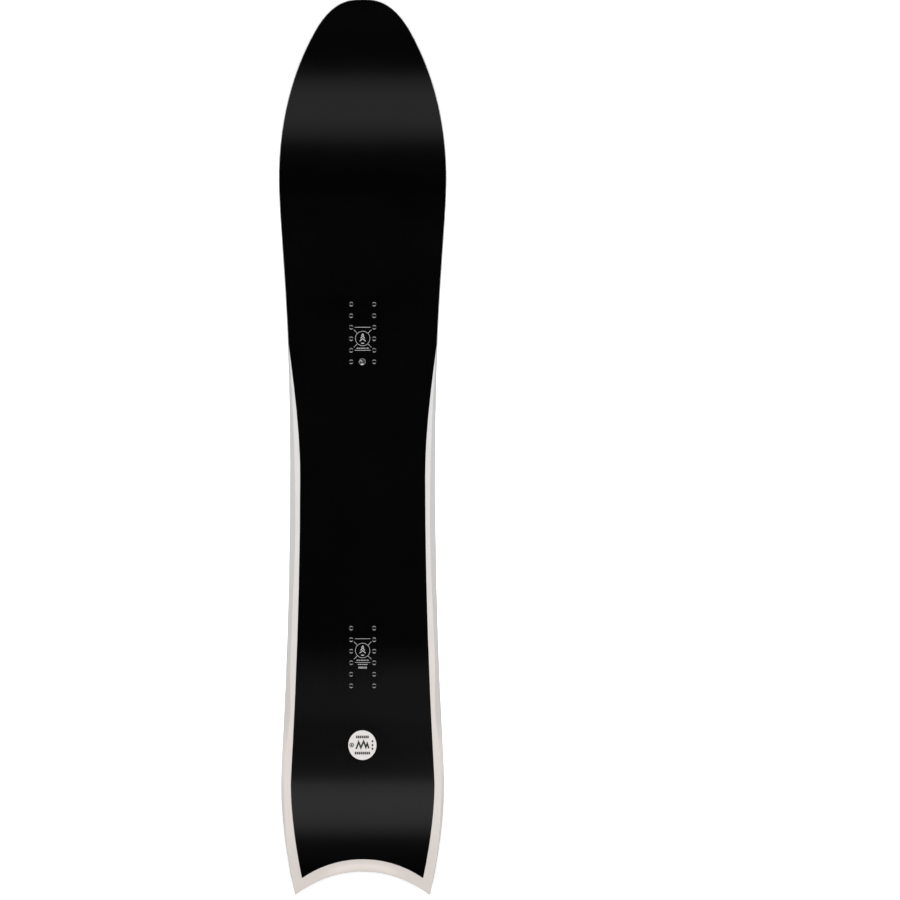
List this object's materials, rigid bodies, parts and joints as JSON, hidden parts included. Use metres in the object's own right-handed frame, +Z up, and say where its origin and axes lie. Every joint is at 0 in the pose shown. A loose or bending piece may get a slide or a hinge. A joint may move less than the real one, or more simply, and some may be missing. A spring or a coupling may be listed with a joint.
{
  "type": "snowboard",
  "caption": "Directional snowboard with a long rounded nose, crescent tail, pale sidewalls and threaded inserts for two bindings.",
  "frame": {"origin": "middle of the board's length and width, on the surface that it lies on", "axes": "+X across the board to the toe side of a rider who stands left foot forward, +Y along it to the nose, +Z up from the running base"},
  "size_m": [0.2916, 1.55, 0.0901],
  "materials": {
    "running_base": "ground sintered polyethylene",
    "base_inlay": "ground sintered polyethylene",
    "edge_steel": "ground",
    "foil": "matt",
    "laminate": "glass cloth in clear epoxy",
    "core_poplar": "planed",
    "core_beech": "planed",
    "sidewall": "satin urethane",
    "topsheet": "satin black",
    "insert_steel": "stainless, turned"
  },
  "bodies": {
    "root": {"base_chevron_inlay": "base_inlay", "base_nose_disc": "running_base", "base_ring_inlay": "base_inlay", "base_sheet": "running_base", "core_stringer_centre": "core_beech", "core_stringer_heel_1": "core_poplar", "core_stringer_heel_2": "core_beech", "core_stringer_heel_3": "core_poplar", "core_stringer_heel_4": "core_poplar", "core_stringer_toe_1": "core_poplar", "core_stringer_toe_2": "core_beech", "core_stringer_toe_3": "core_poplar", "core_stringer_toe_4": "core_poplar", "front_inserts": "insert_steel", "heel_damping_foil": "foil", "heel_sidewall": "sidewall", "heel_steel_edge": "edge_steel", "lower_glass_laminate": "laminate", "nose_spacer": "sidewall", "rear_inserts": "insert_steel", "tail_damping_foil": "foil", "tail_spacer": "sidewall", "tail_steel_edge": "edge_steel", "toe_damping_foil": "foil", "toe_sidewall": "sidewall", "toe_steel_edge": "edge_steel", "topsheet": "topsheet", "upper_glass_laminate": "laminate"}
  },
  "joints": []
}
